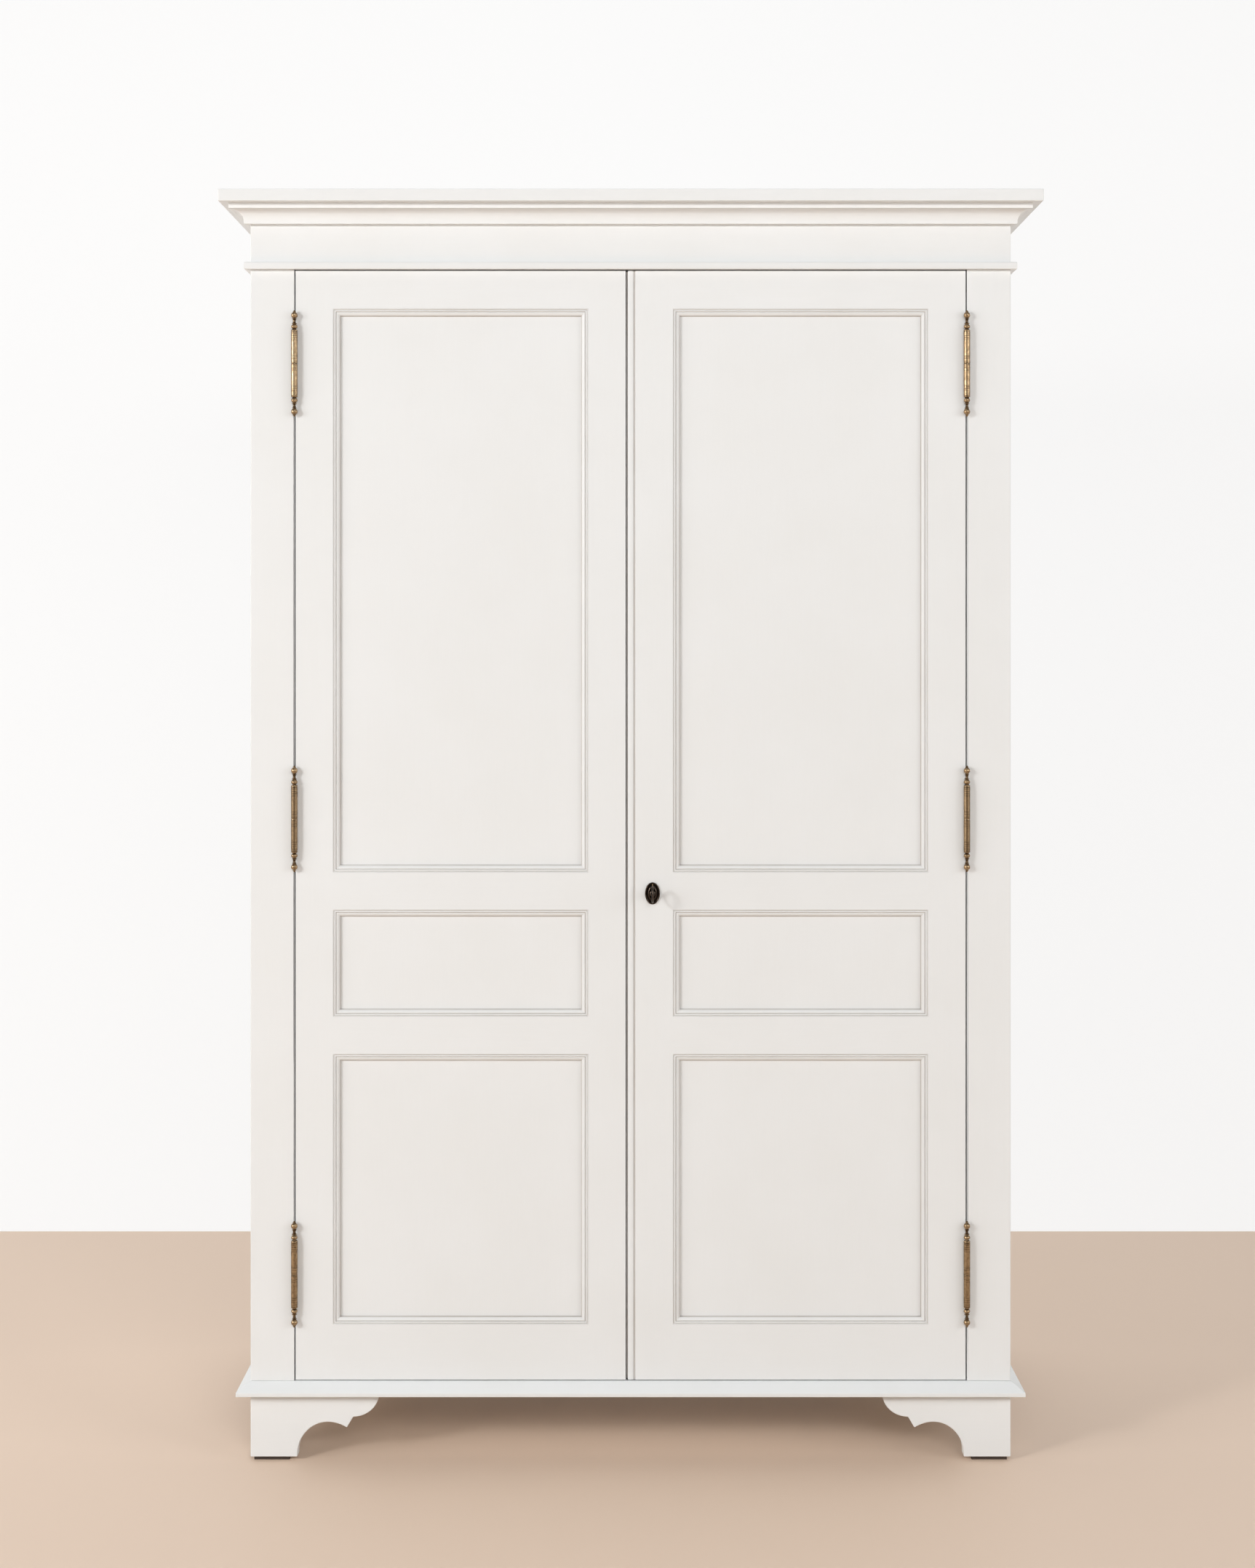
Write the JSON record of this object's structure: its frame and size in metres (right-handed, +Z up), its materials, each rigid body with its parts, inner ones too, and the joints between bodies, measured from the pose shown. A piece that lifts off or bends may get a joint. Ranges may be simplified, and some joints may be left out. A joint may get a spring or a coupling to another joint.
{
  "type": "armoire",
  "caption": "Free-standing two-door armoire: frame-and-panel doors on finial hinges, lock with key, flush bolts, cove cornice, bracket feet, hat shelf and hanging rail.",
  "frame": {"origin": "middle of the footprint, on the floor", "axes": "front faces -Y, +X to the viewer's right when facing the front, +Z up"},
  "size_m": [1.288, 0.624, 2],
  "materials": {
    "white_paint": "off-white satin paint on wood",
    "inside_paint": "off-white matt paint on wood panel",
    "antique_brass": "antiqued, dark in the grooves",
    "dark_bronze": "dark bronze patina",
    "steel": "brushed",
    "glide_rubber": "matt"
  },
  "bodies": {
    "carcass": {"base_board": "white_paint", "left_side_panel": "white_paint", "right_side_panel": "white_paint", "back_panel": "inside_paint", "centre_post": "white_paint", "left_face_stile": "white_paint", "right_face_stile": "white_paint", "frieze_rail": "white_paint", "neck_moulding": "white_paint", "cornice_moulding": "white_paint", "cornice_board": "white_paint", "foot_front_left": "white_paint", "foot_front_right": "white_paint", "foot_back_left": "white_paint", "foot_back_right": "white_paint", "glide_front_left": "glide_rubber", "glide_front_right": "glide_rubber", "glide_back_left": "glide_rubber", "glide_back_right": "glide_rubber", "hat_shelf": "inside_paint", "hanging_rail": "steel", "left_hinge_top_frame_leaf": "antique_brass", "left_hinge_middle_frame_leaf": "antique_brass", "left_hinge_bottom_frame_leaf": "antique_brass", "right_hinge_top_frame_leaf": "antique_brass", "right_hinge_middle_frame_leaf": "antique_brass", "right_hinge_bottom_frame_leaf": "antique_brass"},
    "left_door": {"left_door_hinge_stile": "white_paint", "left_door_meeting_stile": "white_paint", "left_door_top_rail": "white_paint", "left_door_lock_rail": "white_paint", "left_door_lower_rail": "white_paint", "left_door_bottom_rail": "white_paint", "left_door_upper_panel": "white_paint", "left_door_middle_panel": "white_paint", "left_door_lower_panel": "white_paint", "left_hinge_top_door_leaf": "antique_brass", "left_hinge_middle_door_leaf": "antique_brass", "left_hinge_bottom_door_leaf": "antique_brass", "top_bolt_plate": "antique_brass", "bottom_bolt_plate": "antique_brass"},
    "right_door": {"right_door_hinge_stile": "white_paint", "right_door_meeting_stile": "white_paint", "right_door_top_rail": "white_paint", "right_door_lock_rail": "white_paint", "right_door_lower_rail": "white_paint", "right_door_bottom_rail": "white_paint", "right_door_upper_panel": "white_paint", "right_door_middle_panel": "white_paint", "right_door_lower_panel": "white_paint", "right_hinge_top_door_leaf": "antique_brass", "right_hinge_middle_door_leaf": "antique_brass", "right_hinge_bottom_door_leaf": "antique_brass", "right_door_bead_strip": "white_paint", "escutcheon": "dark_bronze", "lock_case": "steel"},
    "top_bolt": {"top_bolt_rod": "antique_brass"},
    "bottom_bolt": {"bottom_bolt_rod": "antique_brass"},
    "lock_bolt": {"lock_bolt": "antique_brass"},
    "key": {"key": "dark_bronze"}
  },
  "joints": [
    {"name": "left_door_hinge", "type": "hinge", "parent": "carcass", "child": "left_door", "pos_m": [-0.53, -0.2735, 1.014], "axis": [0, 0, -1], "range_deg": [0, 170]},
    {"name": "right_door_hinge", "type": "hinge", "parent": "carcass", "child": "right_door", "pos_m": [0.53, -0.2735, 1.014], "axis": [0, 0, 1], "range_deg": [0, 170]},
    {"name": "top_bolt_slide", "type": "slide", "parent": "left_door", "child": "top_bolt", "axis": [0, 0, 1], "range_m": [0, 0.012]},
    {"name": "bottom_bolt_slide", "type": "slide", "parent": "left_door", "child": "bottom_bolt", "axis": [0, 0, -1], "range_m": [0, 0.012]},
    {"name": "key_turn", "type": "hinge", "parent": "right_door", "child": "key", "pos_m": [0.0345, -0.268, 0.897], "axis": [0, 1, 0], "range_deg": [0, 360]},
    {"name": "lock_bolt_slide", "type": "slide", "parent": "right_door", "child": "lock_bolt", "axis": [-1, 0, 0], "range_m": [0, 0.012]}
  ],
  "couplings": [
    {"joint": "lock_bolt_slide", "follows": "key_turn", "m_per_rad": 0.0019099}
  ]
}
